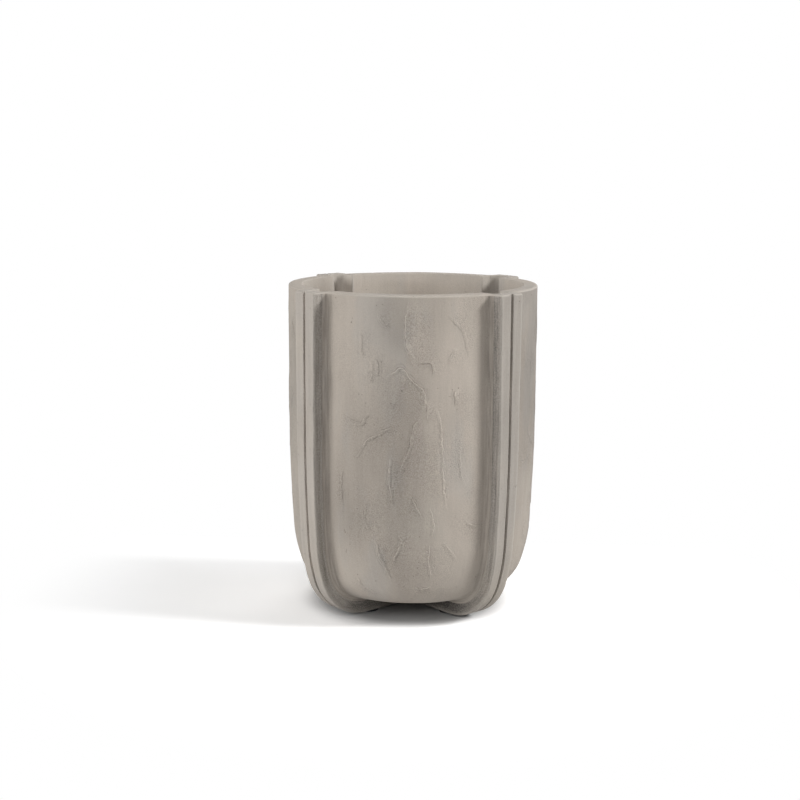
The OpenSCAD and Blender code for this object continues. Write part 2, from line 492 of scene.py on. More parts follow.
def halfRibLines():
    # lines from the foot of a rib's flank to the middle of its groove, each as: share of the rib's
    # half width and shift from there, how far up the flank, drop below the rib's face, wear
    arris, small = ribs["arris"], ribs["grooveArris"]
    half, floor = ribs["grooveWidth"] / 2, ribs["grooveDepth"]
    lines = []
    for up in np.linspace(0, 1, detail["flankLines"]):
        lines.append((1, 0, up, arris * up, math.exp(-wearing["flank"] * (1 - up) / wearing["reach"])))
    for turn in np.radians(detail["arrisTurns"]):
        lines.append((1, -arris * (1 - math.cos(turn)), 1, arris * (1 - math.sin(turn)), 1))
    for share in np.linspace(0, 1, detail["faceLines"])[1:]:
        shift = -arris * (1 - share) + (half + small) * share
        wear = math.exp(-share * wearing["face"] / wearing["reach"])
        fromGroove = (1 - share) * wearing["face"]
        wear += wearing["besideGroove"] * math.exp(-fromGroove / wearing["grooveReach"])
        lines.append((1 - share, shift, 1, 0, wear))
    for turn in np.radians(detail["grooveTurns"]):
        shift, drop = half + small * (1 - math.sin(turn)), small * (1 - math.cos(turn))
        lines.append((0, shift, 1, drop, wearing["inGroove"]))
    for drop in np.linspace(small, floor, detail["grooveLines"])[1:]:
        lines.append((0, half - ribs["grooveTaper"] * drop / floor, 1, drop, 0))
    lines.append((0, half / 2, 1, floor * ribs["grooveHollow"], 0))
    return lines


def ribOutside(lines, along):
    # places in a rib's own axes: out along its plane, across it, up
    share, shift, up, drop, wear = (np.array(column)[:, None] for column in zip(*lines))
    bodyR, bodyZ, outR, outZ = sideCurve(along, 0, bodyBottom)
    faceR, faceZ, faceOutR, faceOutZ = sideCurve(along, ribs["depth"], legBottom)
    footZ = bodyZ + ribs["cove"] * outZ
    footT = ribHalfWidth(footZ)
    footA = np.sqrt(bodyR ** 2 - footT ** 2) + ribs["cove"] * outR
    faceT = ribHalfWidth(faceZ)
    a = footA * (1 - up) + faceR * up - drop * faceOutR
    t = (footT * (1 - up) + faceT * up) * share + shift
    z = footZ * (1 - up) + faceZ * up - drop * faceOutZ
    return np.stack(np.broadcast_arrays(a, t, z), axis=-1), np.broadcast_to(wear, a.shape)


def rimShares(lines):
    # what share of the rim's rounding each of those lines has
    return np.array([
        min(1.0, rimShare["besideGroove"] + rimShare["outwards"] * share)
        if share or drop == 0 else rimShare["inGroove"]
        for share, shift, up, drop, wear in lines
    ])


def fluteShape(count):
    # inside outline of half a rib, from its edge to the flute's back: places along it, evenly spaced,
    # as (part, share): part 0 the flat web, 1 its arris, 2 the flute's straight side, 3 its round back
    lengths = np.array(flutes["outline"])
    places = np.linspace(0, lengths.sum(), count)
    ends = np.cumsum(lengths)
    part = np.minimum(np.searchsorted(ends, places), len(lengths) - 1)
    share = (places - (ends - lengths)[part]) / lengths[part]
    return part[:, None], share[:, None]


def ribInside(count, radius, height):
    # inside of half a rib: the flute runs out at its length, and the wall goes on below it
    part, share = fluteShape(count)
    half = flutes["width"] / 2
    edge = ribHalfWidth(height)
    arris = np.maximum(edge - half, flutes["leastWeb"]) * flutes["arris"]
    axis = innerRadius + flutes["depth"] - half - (rimHeight - height) * flutes["lean"]
    straight = np.maximum(axis - radius, flutes["leastDepth"])
    below = np.maximum(rimHeight - flutes["length"] + half - height, 0)
    turn = share * math.pi / 2
    parts = [part == 0, part == 1, part == 2]
    across = [edge + (half + arris - edge) * share, half + arris * (1 - np.sin(turn)), half]
    t = np.select(parts, across, half * np.cos(turn))
    deep = [0.0, arris * (1 - np.cos(turn)), arris + (straight - arris) * share]
    depth = np.select(parts, deep, straight)
    even = edge * (1 - np.linspace(0, 1, count))[:, None]
    gone = smoothStep(0, half, below)
    t = t * (1 - gone) + even * gone
    roundPart = np.sqrt(np.maximum(half ** 2 - t ** 2 - below ** 2, 0)) * (part == 3)
    inside, outside = flutes["runOut"]
    left = 1 - smoothStep(half - inside, half + outside, np.hypot(t, below) * (below > 0))
    a = np.sqrt(np.maximum(radius ** 2 - t ** 2, 0)) + (depth + roundPart) * left
    return np.stack(np.broadcast_arrays(a, t, height), axis=-1)


def turnedOut(places, angle):
    # from a rib's own axes to the frame's
    c, s = math.cos(angle), math.sin(angle)
    a, t, z = places[..., 0], places[..., 1], places[..., 2]
    return np.stack([a * c - t * s, a * s + t * c, z], axis=-1)


def mirroredRib(half):
    # a whole rib's lines from its clockwise edge to the other, from half of them
    return np.concatenate([half * np.array([1, -1, 1]), half[::-1]], axis=0)


def wallOutside(along, under=0.0):
    # lines of one panel, centred on +X, from the top of one cove to the top of the other: under is
    # the share of the way from the side's curve in to the base plate's seat
    radius, height, outR, outZ = sideCurve(along, 0, bodyBottom)
    radius = radius * (1 - under) + seatRadius * under
    halfWidth = ribHalfWidth(height)
    cove = ribs["cove"]
    lines = []
    for turn in np.linspace(math.pi / 2, 0, detail["coveLines"] + 1)[:-1]:
        lift = cove * (1 - math.cos(turn))
        width = ribHalfWidth(height + lift * outZ) if turn == math.pi / 2 else halfWidth
        t = width + cove * (1 - math.sin(turn))
        a = np.sqrt(radius ** 2 - t ** 2) + lift * outR
        lines.append(np.stack([a, t, height + lift * outZ], axis=-1))
    start = turnedOut(np.array(lines), -math.pi / 4)
    first = -math.pi / 4 + np.arcsin((halfWidth + cove) / radius)
    flat = roundWall(first, np.linspace(0, 1, detail["wallLines"]), radius, height)
    end = start[::-1] * np.array([1, -1, 1])
    return np.concatenate([start, flat, end], axis=0)


def roundWall(first, shares, radius, height):
    # lines of a panel at shares of the way round it, from the first angle to the opposite one
    angle = first * (1 - 2 * shares[:, None])
    level = np.broadcast_to(height, angle.shape)
    return np.stack([radius * np.cos(angle), radius * np.sin(angle), level], axis=-1)


def wallInside(rim, radius, height):
    # a panel's inside, with a line behind each of those that reach its rim
    plan = np.arctan2(rim[:, 1], rim[:, 0])
    shares = (plan - plan[0]) / (plan[-1] - plan[0])
    first = -math.pi / 4 + np.arcsin(ribHalfWidth(height) / radius)
    return roundWall(first, shares, radius, height)


def outlineNormals(outline):
    # outward normals, in plan, of a closed outline that runs anticlockwise
    way = np.roll(outline, -1, axis=0) - np.roll(outline, 1, axis=0)
    normals = np.stack([way[:, 1], -way[:, 0]], axis=-1)
    return normals / np.linalg.norm(normals, axis=1)[:, None]


def gridNormals(grid):
    around = np.roll(grid, -1, axis=0) - np.roll(grid, 1, axis=0)
    upward = np.gradient(grid, axis=1)
    normals = np.cross(around, upward)
    return normals / np.maximum(np.linalg.norm(normals, axis=-1)[..., None], leastArea)


def distinctLines(rim):
    # The last line of a rib is the first of the panel beside it, and stays in both: which lines are
    # new, and for every line which of the new ones it is.
    distinct = np.linalg.norm(rim - np.roll(rim, 1, axis=0), axis=1) > touching
    which = np.cumsum(distinct) - 1
    which[which < 0] = distinct.sum() - 1
    return distinct, which


def rimStations(rim, outwards, innerRim, hollow, rounding):
    # from the outside's last station to the inside's first, with how worn each is
    innerRounding = side["innerRounding"]
    turns = np.linspace(0, math.pi / 2, detail["roundStations"] + 1)[1:]
    stations = []
    for turn in turns:
        flat = rim - outwards * (rounding * (1 - math.cos(turn)))[:, None]
        stations.append((flat, rimHeight - rounding * (1 - math.sin(turn)), 1.0))
    outer, inner = stations[-1][0], innerRim - hollow * innerRounding
    for share in np.linspace(0, 1, detail["topStations"])[1:-1]:
        fromArris = wearing["rim"] * min(share, 1 - share)
        wear = math.exp(-fromArris / wearing["rimReach"])
        stations.append((outer * (1 - share) + inner * share, rimHeight, wear))
    for turn in turns[::-1]:
        flat = innerRim - hollow * innerRounding * (1 - math.cos(turn))
        stations.append((flat, rimHeight - innerRounding * (1 - math.sin(turn)), 1.0))
    places = [
        np.column_stack([flat, np.broadcast_to(level, len(flat))])
        for flat, level, wear in stations
    ]
    return np.stack(places, axis=1), [wear for flat, level, wear in stations]


def buildShell():
    up, down = outsideStations(), insideStations()
    half = halfRibLines()
    ribHalf, wearHalf = ribOutside(half, up)
    shares = rimShares(half)
    wallGrid = wallOutside(up)
    thickness = side["thickness"]
    inR, inZ = sideCurve(np.concatenate([[0.0], down]), -thickness, bodyBottom + thickness)[:2]

    # a rib and the panel beside it, each as its outside, inside, wear and shares of the rim's rounding
    kinds = [
        (mirroredRib(ribHalf), mirroredRib(ribInside(len(half), inR, inZ)),
         np.concatenate([wearHalf, wearHalf[::-1]]), np.concatenate([shares, shares[::-1]])),
        (wallGrid, wallInside(wallGrid[:, -1], inR, inZ),
         np.zeros(wallGrid.shape[:2]), np.ones(len(wallGrid))),
    ]
    columns = []
    for number, degrees in enumerate(ribs["angles"]):
        for kind, (outer, inner, worn, share) in enumerate(kinds):
            turn = math.radians(degrees) + kind * math.pi / 4
            owner = np.full(len(outer), 2 * number + kind)
            columns.append((turnedOut(outer, turn), turnedOut(inner, turn), worn, share, owner))
    outside, inside, wear, share, owner = (np.concatenate(column) for column in zip(*columns))

    # the lip is lowered so that it ends where the rim's rounding begins
    rounding = side["rimRounding"] * share
    onLip = up <= 1
    fall = (outside[:, onLip, 2] - lipBottom) * (1 - rounding[:, None] / side["lipHeight"])
    outside[:, onLip, 2] = lipBottom + fall
    rim, innerRim = outside[:, -1, :2], inside[:, 0, :2]
    distinct, which = distinctLines(rim)
    outwards = outlineNormals(rim[distinct])[which]
    hollow = -outlineNormals(innerRim[distinct])[which]
    top, rimWear = rimStations(rim, outwards, innerRim, hollow, rounding)
    grid = np.concatenate([outside, top, inside[:, 1:]], axis=1)
    below = np.zeros((len(grid), inside.shape[1] - 1))
    wear = np.concatenate([wear, np.broadcast_to(rimWear, top.shape[:2]), below], axis=1)
    normals = gridNormals(grid[distinct])[which]
    return {"grid": grid, "normals": normals, "wear": wear, "owner": owner, "outer": len(up)}


finishRelief = {
    "sway": 0.35,           # millimetres, the slow unevenness of every cast face
    "swaySize": 0.075,
    "rub": 0.09,            # the closer unevenness left by rubbing down
    "rubSize": 0.013,
    "drag": 0.05,           # upright drag marks on the ribs
    "dragSize": 0.003,
    "chips": 0.7,           # how deep the small chips along the arrises go
    "chipSizes": (0.0075, 0.0028),
    "chipShares": (0.6, 0.5),
    "chipFrom": (0.28, 0.75),
    "rubUpright": 0.3,      # how much shorter upright lengths count, so that marks are drawn out
    "dragUpright": 0.06,
}


def upright(share):
    return np.array([1, 1, share])


def roughen(places, normals, wear, proud, isRib):
    # the places moved out along their normals, by millimetres
    values = finishRelief
    move = values["sway"] * layeredNoise(places, values["swaySize"], seeds["sway"], 2)
    rubbed = places * upright(values["rubUpright"])
    move += values["rub"] * layeredNoise(rubbed, values["rubSize"], seeds["rub"])
    if isRib:
        dragged = places * upright(values["dragUpright"])
        move += values["drag"] * layeredNoise(dragged, values["dragSize"], seeds["drag"], 2)
    rough = sum(
        latticeNoise(places, size, seed) * share
        for size, seed, share in zip(values["chipSizes"], seeds["chips"], values["chipShares"])
    )
    move -= values["chips"] * smoothStep(*values["chipFrom"], rough) * np.clip(wear, 0, 1)
    move += proud
    return places + normals * (move * millimetre)[..., None]


# how much lighter or darker each rib and each panel is than the others, round from the front left rib and
# the front panel
ribTones = [0.0, -0.14, -0.04, 0.02]
panelTones = [0.0, -0.15, 0.04, -0.02]

# painted light and shade round the inside, by degrees round from +X: how much lighter or darker the inside
# face is painted there
insidePaintedLight = {
    "round": [-90, 0, 30, 45, 62, 72, 88, 110, 135, 150, 180, 270],
    "light": [0.17, 0.07, -0.02, -0.14, 0.05, 0.21, 0.46, 0.32, 0.20, -0.08, 0.02, 0.17],
    "rim": (0.4995, 0.4984),    # heights between which it sets in at the rim's inner edge
}

# how a panel's outside differs from place to place: pairs are where something sets in and is whole
panelSkin = {
    "besideRib": (0, 12),       # the relief, in millimetres from a rib
    "belowRim": (497, 491),     # and in millimetres above the floor
    "aboveBottom": (34, 60),
    "sandBesideRib": (4, 26),
    "sandNearRib": 0.25,        # share of the sand that there is beside a rib
    "sandLeast": 0.08,
    "sandBroad": 0.4,           # in areas spread over the panel
    "sandSize": 0.05,
    "sandFrom": (0.0, 0.7),
    "sandOnFlakes": 0.95,
    "sandInside": 0.25,
    "toneWanders": 0.05,
    "toneSize": 42.0,           # millimetres
    "patchEdge": (0.45, 1.15),  # shares of a patch's size over which it ends
    "streakReach": 9,           # millimetres from a rib over which its streaks and painted shade run out
    "streakWanders": 4,
    "streakSize": 0.012,
    "streakEnd": (0.1, 1.9),    # shares of that reach
}

ribSkin = {
    "flankFrom": (0.35, 0.75),  # how square to the face a place looks where it is streaked and painted with shade
    "sandLeast": 0.15,
    "sandOnFlank": 0.7,
    "sandInside": 0.2,
    "toneWanders": 0.04,
    "toneSize": 0.03,
    "grooveLight": 0.20,        # how much lighter the grooves are made
    "besideGroove": 0.0002,     # metres that it reaches beyond them
    "paintedShadeUnderBody": 0.50,            # painted shade on the legs under the body: how much darker they are there
    "paintedShadeOnFaces": 0.35,          # share of that painted shade on their faces
    "lowHeight": (0.012, 0.06),
    "lowRadius": (0.125, 0.170),
    "lowStreaks": 0.6,          # share of the streaks that is gone there
}

# point values of what is hidden behind the base plate, where they aren't 0
hiddenValues = {"sandy": 0.5, "flakeGap": trowel["seen"]}


def paintedLightInside(places):
    degrees = (np.degrees(np.arctan2(places[..., 1], places[..., 0])) + 90) % 360 - 90
    light = np.interp(degrees, insidePaintedLight["round"], insidePaintedLight["light"])
    return light * smoothStep(*insidePaintedLight["rim"], places[..., 2])


def softPatches(across, height, patches):
    total = np.zeros_like(across)
    for middle, level, halfWidth, halfHeight, amount in patches:
        gap = np.hypot((across - middle) / halfWidth, (height - level) / halfHeight)
        total += amount * (1 - smoothStep(*panelSkin["patchEdge"], gap))
    return total


def flankPlaces(places, first, sign):
    # metres up a rib's flank (below 0 on a panel, away from it) and metres along the side's curve
    fromEdge = [np.linalg.norm(places - edge, axis=-1) for edge in (places[:1], places[-1:])]
    steps = np.linalg.norm(places[:, 1:] - places[:, :-1], axis=-1)
    run = np.concatenate([np.zeros((len(places), 1)), np.cumsum(steps, axis=1)], axis=1)
    return {"flankLift": sign * np.minimum(*fromEdge), "flankRun": run - run[:, first:first + 1]}


def filledUp(numbers, stations, rest=0.0):
    # the numbers of the first stations, and rest at the others
    return np.pad(numbers, ((0, 0), (0, stations - numbers.shape[1])), constant_values=rest)


def ledTo(shell, mine, start, startNormals):
    # a casting's places, normals and wear: start's stations, under the body, lead to the shell's
    places = np.concatenate([start, shell["grid"][mine]], axis=1)
    normals = np.concatenate([startNormals, shell["normals"][mine]], axis=1)
    wear = np.pad(shell["wear"][mine], ((0, 0), (start.shape[1], 0)), mode="edge")
    return places, normals, wear


def reachInside(values, places, skin):
    # the tone and the sand of the outside are given theirs for the inside too, where the tone is the
    # painted light and shade round the inside
    inside = places[:, values["tone"].shape[1]:]
    values["tone"] = np.concatenate([values["tone"], paintedLightInside(inside)], axis=1)
    values["sandy"] = filledUp(values["sandy"], places.shape[1], skin["sandInside"])


def finishMesh(name, mesh, finish):
    mesh.shade_smooth()
    mesh.set_sharp_from_angle(angle=sharpFrom)
    mesh.materials.append(finish)
    piece = bpy.data.objects.new(name, mesh)
    scene.collection.objects.link(piece)
    return piece


def makePiece(name, loop, values, finish):
    # a closed solid from lines of stations: loop is [line, station, xyz], and its stations close up
    lines, stations = loop.shape[:2]
    number = np.arange(lines * stations).reshape(lines, stations)
    ahead = np.roll(number, -1, axis=1)
    quads = np.stack([number[:-1], number[1:], ahead[1:], ahead[:-1]], axis=-1).reshape(-1, 4)
    corners = np.concatenate([quads.ravel(), number[0], number[-1][::-1]])
    sizes = np.concatenate([np.full(len(quads), 4), [stations, stations]])
    starts = np.concatenate([[0], np.cumsum(sizes)[:-1]])
    mesh = bpy.data.meshes.new(name)
    mesh.vertices.add(lines * stations)
    mesh.vertices.foreach_set("co", loop.astype(np.float32).ravel())
    mesh.loops.add(len(corners))
    mesh.loops.foreach_set("vertex_index", corners.astype(np.int32))
    mesh.polygons.add(len(sizes))
    mesh.polygons.foreach_set("loop_start", starts.astype(np.int32))
    mesh.update(calc_edges=True)
    for title, numbers in values.items():
        layer = mesh.attributes.new(title, "FLOAT", "POINT")
        whole = filledUp(numbers, stations, hiddenValues.get(title, 0.0))
        layer.data.foreach_set("value", whole.astype(np.float32).ravel())
    return finishMesh(name, mesh, finish)


def fromRib(places, angle):
    # how far places on a panel lie from the nearer rib's flank, in millimetres
    local = turnedOut(places, -angle)
    plan = np.abs(np.arctan2(local[..., 1], local[..., 0]))
    radius = np.hypot(local[..., 0], local[..., 1])
    return (radius * np.sin(math.pi / 4 - plan) - ribHalfWidth(places[..., 2])) / millimetre


def panelSurface(places, angle, number, coat):
    # how far a panel's outside stands proud, in millimetres, and its point values
    values, seen = panelSkin, trowel["seen"]
    local = turnedOut(places, -angle)
    across = np.arctan2(local[..., 1], local[..., 0]) * bodyRadius / millimetre
    height = places[..., 2] / millimetre
    gap = fromRib(places, angle)
    found = trowelRelief(across, height, coat["marks"], seeds["ragged"] + 10 * number)
    relief, onFlake, edgeGap, strong = found
    calm = smoothStep(*values["besideRib"], gap)
    calm *= smoothStep(*values["belowRim"], height) * smoothStep(*values["aboveBottom"], height)
    broad = layeredNoise(places * upright(0.6), values["sandSize"], seeds["sand"])
    sandy = values["sandBroad"] * smoothStep(*values["sandFrom"], broad)
    sandy += softPatches(across, height, coat["sand"]) + values["sandOnFlakes"] * onFlake * calm
    sandy = np.clip(values["sandLeast"] + sandy, 0, 1)
    nearRib = values["sandNearRib"]
    sandy *= nearRib + (1 - nearRib) * smoothStep(*values["sandBesideRib"], gap)
    flat = np.stack([across, height / 2, np.zeros_like(across)], axis=-1)
    tone = values["toneWanders"] * layeredNoise(flat, values["toneSize"], seeds["panelTone"] + number)
    # streaks, and painted shade, beside the ribs
    wander = layeredNoise(places * upright(0.25), values["streakSize"], seeds["streaks"], 2)
    reach = values["streakReach"] + values["streakWanders"] * wander
    return relief * calm, {
        "sandy": sandy,
        "tone": panelTones[number] + tone + softPatches(across, height, coat["tones"]),
        "flakeGap": np.clip(edgeGap, -seen, seen),
        "flakeEdge": strong * calm,
        "streaksAndShade": 1 - smoothStep(*values["streakEnd"], gap / reach),
    }


def panelPiece(shell, number, name, coat, finish):
    mine = shell["owner"] == 2 * number + 1
    angle = math.radians(ribs["angles"][number] + 45)
    under = np.linspace(1, 0, detail["seatStations"])[:-1]
    start = turnedOut(wallOutside(np.full(len(under), bottomPlace), under), angle)
    down = np.broadcast_to([0.0, 0.0, -1.0], start.shape)
    places, normals, wear = ledTo(shell, mine, start, down)
    outer = shell["outer"] + len(under)
    proud, values = panelSurface(places[:, :outer], angle, number, coat)
    reachInside(values, places, panelSkin)
    values.update(flankPlaces(places, len(under), -1), wear=wear)
    moved = roughen(places, normals, wear, filledUp(proud, places.shape[1]), False)

    # the ledge that the base plate rests on closes it
    rim = turnedOut(shell["grid"][mine][:, shell["outer"] - 1], -angle)
    ledge = bodyBottom + side["ledgeHeight"]
    radii = np.array([plateRadius, plateRadius, seatRadius])
    heights = np.array([bodyBottom + side["thickness"], ledge, ledge])
    end = turnedOut(wallInside(rim, radii, heights), angle)
    return makePiece(name, np.concatenate([moved, end], axis=1), values, finish)


def ribSurface(places, normals, angle, number):
    # point values of a rib's outside
    values = ribSkin
    sideways = np.clip(np.abs(turnedOut(normals, -angle)[..., 1]), 0, 1)
    streaksAndShade = smoothStep(*values["flankFrom"], sideways)
    # painted shade on the legs under the body, where they are low and near the middle
    low = 1 - smoothStep(*values["lowHeight"], places[..., 2])
    low *= 1 - smoothStep(*values["lowRadius"], np.hypot(places[..., 0], places[..., 1]))
    wander = layeredNoise(places * upright(0.3), values["toneSize"], seeds["ribTone"], 2)
    tone = values["toneWanders"] * wander
    onFace = values["paintedShadeOnFaces"]
    tone += ribTones[number] - values["paintedShadeUnderBody"] * low * (onFace + (1 - onFace) * streaksAndShade)
    grooveHalf = ribs["grooveWidth"] / 2 + values["besideGroove"]
    tone += values["grooveLight"] * (np.abs(turnedOut(places, -angle)[..., 1]) < grooveHalf)
    return {
        "sandy": values["sandLeast"] + values["sandOnFlank"] * sideways,
        "tone": tone,
        "streaksAndShade": streaksAndShade * (1 - values["lowStreaks"] * low),
    }


def ribPiece(shell, number, name, finish):
    mine = shell["owner"] == 2 * number
    angle = math.radians(ribs["angles"][number])
    local = turnedOut(shell["grid"][mine], -angle)
    steps = np.linspace(1, 0, detail["legStations"])[:-1]
    corner = local[:, :1]
    hub = corner * np.array([0, 1, 1]) + np.array([hubHalf, 0, 0])
    start = corner * (1 - steps[None, :, None]) + hub * steps[None, :, None]
    down = np.repeat(shell["normals"][mine][:, :1], len(steps), axis=1)
    places, normals, wear = ledTo(shell, mine, turnedOut(start, angle), down)
    outer = shell["outer"] + len(steps)
    values = ribSurface(places[:, :outer], normals[:, :outer], angle, number)
    reachInside(values, places, ribSkin)
    values.update(flankPlaces(places, len(steps), 1), wear=wear)
    moved = roughen(places, normals, wear, 0.0, True)

    # its share of the ledge and the end of the leg, against the hub, close it
    across = local[:, -1, 1] / ribHalfWidth(local[:, -1, 2])
    top, ledge = bodyBottom + side["thickness"], bodyBottom + side["ledgeHeight"]
    corners = [(plateRadius, top), (plateRadius, ledge), (seatRadius, ledge), (seatRadius, bodyBottom)]
    end = []
    for radius, height in corners:
        t = across * ribHalfWidth(height)
        end.append(np.column_stack([np.sqrt(radius ** 2 - t ** 2), t, np.full(len(t), height)]))
    end.append(end[-1] * np.array([0, 1, 1]) + np.array([hubHalf, 0, 0]))
    loop = np.concatenate([moved, turnedOut(np.stack(end, axis=1), angle)], axis=1)
    return makePiece(name, loop, values, finish)


pads = {
    "around": 72,
    # outline from the middle of the underside to the middle of the top, in millimetres: the underside
    # has three raised rings, and the edges are rounded
    "outline": [
        (0.0, 0.6), (2.4, 0.6), (2.8, 0.45), (3.1, 0.1), (3.4, 0.0), (4.6, 0.0), (4.9, 0.1), (5.2, 0.45),
        (5.6, 0.6), (7.0, 0.6), (7.4, 0.45), (7.7, 0.1), (8.0, 0.0), (9.2, 0.0), (9.5, 0.1), (9.8, 0.45),
        (10.2, 0.6), (11.6, 0.6), (12.0, 0.45), (12.3, 0.1), (12.6, 0.0), (15.1, 0.0), (15.55, 0.13),
        (15.87, 0.45), (16.0, 0.9), (16.0, 2.3), (15.9, 2.65), (15.65, 2.9), (15.3, 3.0), (0.0, 3.0),
    ],
}


def padPiece(name, low, high, finish):
    # the outline turned about the pad's own axis, sized to the pad in the frame
    outline = np.array(pads["outline"])
    scale = np.array([(high.x - low.x) / 2, high.z - low.z]) / outline.max(axis=0)
    outline = outline * scale + np.array([0, low.z])
    around = pads["around"]
    turns = np.arange(around) * 2 * math.pi / around
    radius, height = outline[1:-1, 0][:, None], outline[1:-1, 1][:, None]
    middle = [(low.x + high.x) / 2, (low.y + high.y) / 2]
    x, y = middle[0] + radius * np.cos(turns), middle[1] + radius * np.sin(turns)
    rings = np.stack(np.broadcast_arrays(x, y, height), axis=-1)
    places = [*rings.reshape(-1, 3).tolist(), [*middle, outline[0, 1]], [*middle, outline[-1, 1]]]
    under = len(rings) * around
    lastRing = under - around
    faces = []
    for step in range(around):
        ahead = (step + 1) % around
        faces.append([under, ahead, step])
        for row in range(0, lastRing, around):
            faces.append([row + step, row + ahead, row + around + ahead, row + around + step])
        faces.append([lastRing + step, lastRing + ahead, under + 1])
    mesh = bpy.data.meshes.new(name)
    mesh.from_pydata(places, [], faces)
    return finishMesh(name, mesh, finish)


class Wire:
    # one output of a node, on which sums can be written

    def __init__(self, tree, socket=None):
        self.tree, self.socket = tree, socket

    def node(self, kind, settings=None, inputs=None, output=0):
        # output is the number or the name of the one that is wanted
        made = self.tree.nodes.new(kind)
        for name, value in (settings or {}).items():
            setattr(made, name, value)
        for name, value in (inputs or {}).items():
            if isinstance(value, Wire):
                self.tree.links.new(value.socket, made.inputs[name])
            else:
                made.inputs[name].default_value = value
        return Wire(self.tree, made.outputs[output] if made.outputs else None)

    def maths(self, operation, *numbers):
        return self.node("ShaderNodeMath", {"operation": operation}, dict(enumerate(numbers)))

    def __add__(self, other):
        return self.maths("ADD", self, other)

    def __sub__(self, other):
        return self.maths("SUBTRACT", self, other)

    def __rsub__(self, other):
        return self.maths("SUBTRACT", other, self)

    def __mul__(self, other):
        return self.maths("MULTIPLY", self, other)

    def __abs__(self):
        return self.maths("ABSOLUTE", self)

    __radd__, __rmul__ = __add__, __mul__

    def orMore(self, other):
        return self.maths("MAXIMUM", self, other)

    def between(self, low, high):
        # 0 below low, 1 above high
        return self.node("ShaderNodeMapRange", {"interpolation_type": "SMOOTHSTEP"}, {
            "Value": self, "From Min": low, "From Max": high,
        })


def newFinish(name):
    material = bpy.data.materials.new(name)
    material.use_nodes = True
    material.node_tree.nodes.clear()
    return material, Wire(material.node_tree)


def noise(sheet, places, scale, layers=3, roughness=0.5, distortion=0.0):
    return sheet.node("ShaderNodeTexNoise", {}, {
        "Vector": places, "Scale": scale, "Detail": layers,
        "Roughness": roughness, "Distortion": distortion,
    })


def stretch(sheet, places, factors):
    return sheet.node("ShaderNodeVectorMath", {"operation": "MULTIPLY"}, {0: places, 1: factors})


def blendColours(sheet, factor, first, second, blend="MIX"):
    # of a Mix node's many sockets, 6, 7 and output 2 are those of colours
    settings = {"data_type": "RGBA", "blend_type": blend}
    return sheet.node("ShaderNodeMix", settings, {0: factor, 6: first, 7: second}, output=2)


def shade(sheet, colour, amount):
    # a colour made lighter or darker by a value round 1
    even = sheet.node("ShaderNodeCombineColor", {}, {"Red": amount, "Green": amount, "Blue": amount})
    return blendColours(sheet, 1.0, colour, even, "MULTIPLY")


def linear(red, green, blue):
    # a colour as a screen writes it, from 0 to 255, as the shaders take it
    return (*(((part / 255 + 0.055) / 1.055) ** 2.4 for part in (red, green, blue)), 1)


def grey(light):
    return (light, light, light, 1)


def pointValues(sheet, *names):
    return [
        sheet.node("ShaderNodeAttribute", {"attribute_name": name}, output="Fac")
        for name in names
    ]


def finishSurface(sheet, colour, roughness, height, depth, strength=1.0, specular=0.35):
    bump = sheet.node("ShaderNodeBump", {}, {
        "Strength": strength, "Distance": depth, "Height": height,
    })
    shader = sheet.node("ShaderNodeBsdfPrincipled", {}, {
        "Base Color": colour, "Roughness": roughness, "Normal": bump, "Specular IOR Level": specular,
    })
    sheet.node("ShaderNodeOutputMaterial", {}, {"Surface": shader})


skimLooks = {
    "tone": linear(170, 161, 151),
    "cool": linear(167, 160, 152),      # patches where the mortar dried bluer
    "warm": linear(171, 163, 153),
    "light": linear(186, 179, 170),     # worn edges
    "patches": 0.12,                    # share by which the tone wanders
    "speckle": 1.3,
    "streaks": 0.06,
    "flankStreaks": 1.15,               # beside and on the flanks, where nobody rubbed it down
    # painted shade on the flanks and in the corners beside them
    "flankPaintedShade": 0.17,
    "lipPaintedHighlight": 0.26,                   # painted highlight along the turned-up edge of a flake
    "footPaintedShade": 0.38,                   # painted shade along the foot of a flake's edge
    "pitPaintedShade": 0.30,
    "roughness": 0.88,
    "bump": 0.0009,                     # metres
    # how many of each there are to a metre
    "coolScale": 14,
    "warmScale": 9,
    "cloudScale": 26,
    "wornScale": 95,
    "grainScale": 600,
    "fineScale": 1000,
    "pitScale": 190,
    "pitAreas": 75,
    "uprightStretch": (1, 1, 0.35),
    "streakStretch": (240, 9, 1),       # up the flank, along the curve, round the vessel
    "flankStretch": (330, 14, 1),
    "streaksDiffer": (20, 33, 0),       # so that no two ribs have the same
}

ribLooks = dict(skimLooks, tone=linear(170, 163, 155), patches=0.08, streaks=0.16)


